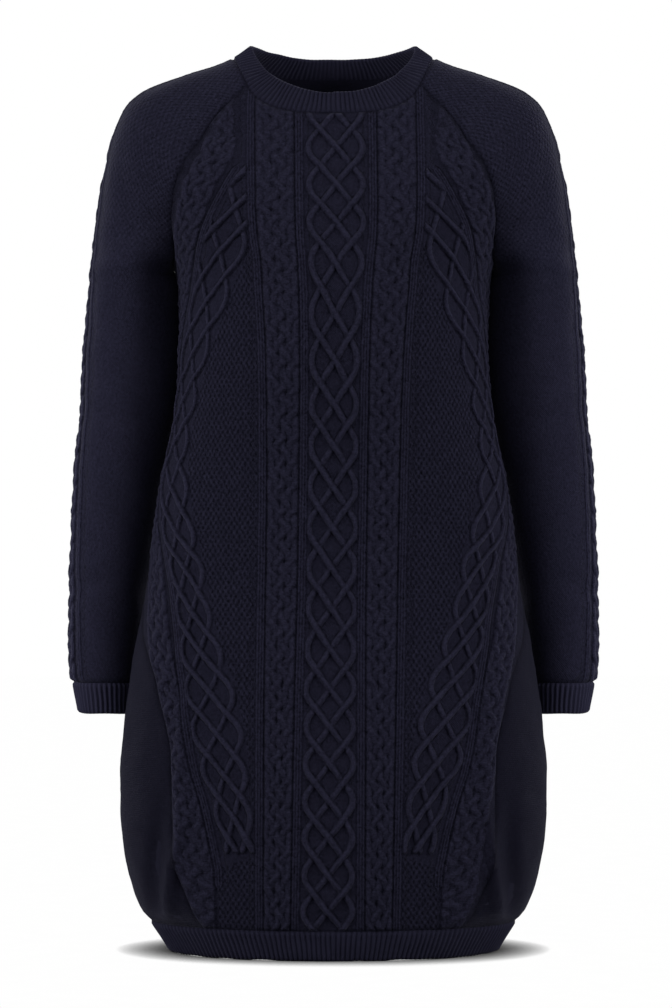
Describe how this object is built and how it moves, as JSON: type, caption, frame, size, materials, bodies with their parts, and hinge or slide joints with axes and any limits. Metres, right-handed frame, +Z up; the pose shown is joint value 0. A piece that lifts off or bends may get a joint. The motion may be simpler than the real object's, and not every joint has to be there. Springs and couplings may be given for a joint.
{
  "type": "sweater dress",
  "caption": "Cable-knit sweater dress with raglan sleeves, ribbed neck, cuffs and hem and a cocoon skirt, filled out as if worn.",
  "frame": {"origin": "in the middle of the neck, level with the tops of the shoulders, where a wearer or a form holds the dress up", "axes": "+Z up towards the neck, -Y out of the dress's front, +X to the wearer's left"},
  "size_m": [0.537, 0.2431, 0.9042],
  "materials": {
    "cable_knit": "soft matte navy wool, cabled",
    "plain_knit": "soft matte navy wool, stocking stitch",
    "rib_knit": "soft matte navy wool, ribbed"
  },
  "bodies": {
    "root": {"front": "cable_knit", "back": "plain_knit", "sleeve_left": "cable_knit", "sleeve_right": "cable_knit", "neckband": "rib_knit", "cuff_left": "rib_knit", "cuff_right": "rib_knit", "hem_band": "rib_knit"}
  },
  "joints": []
}
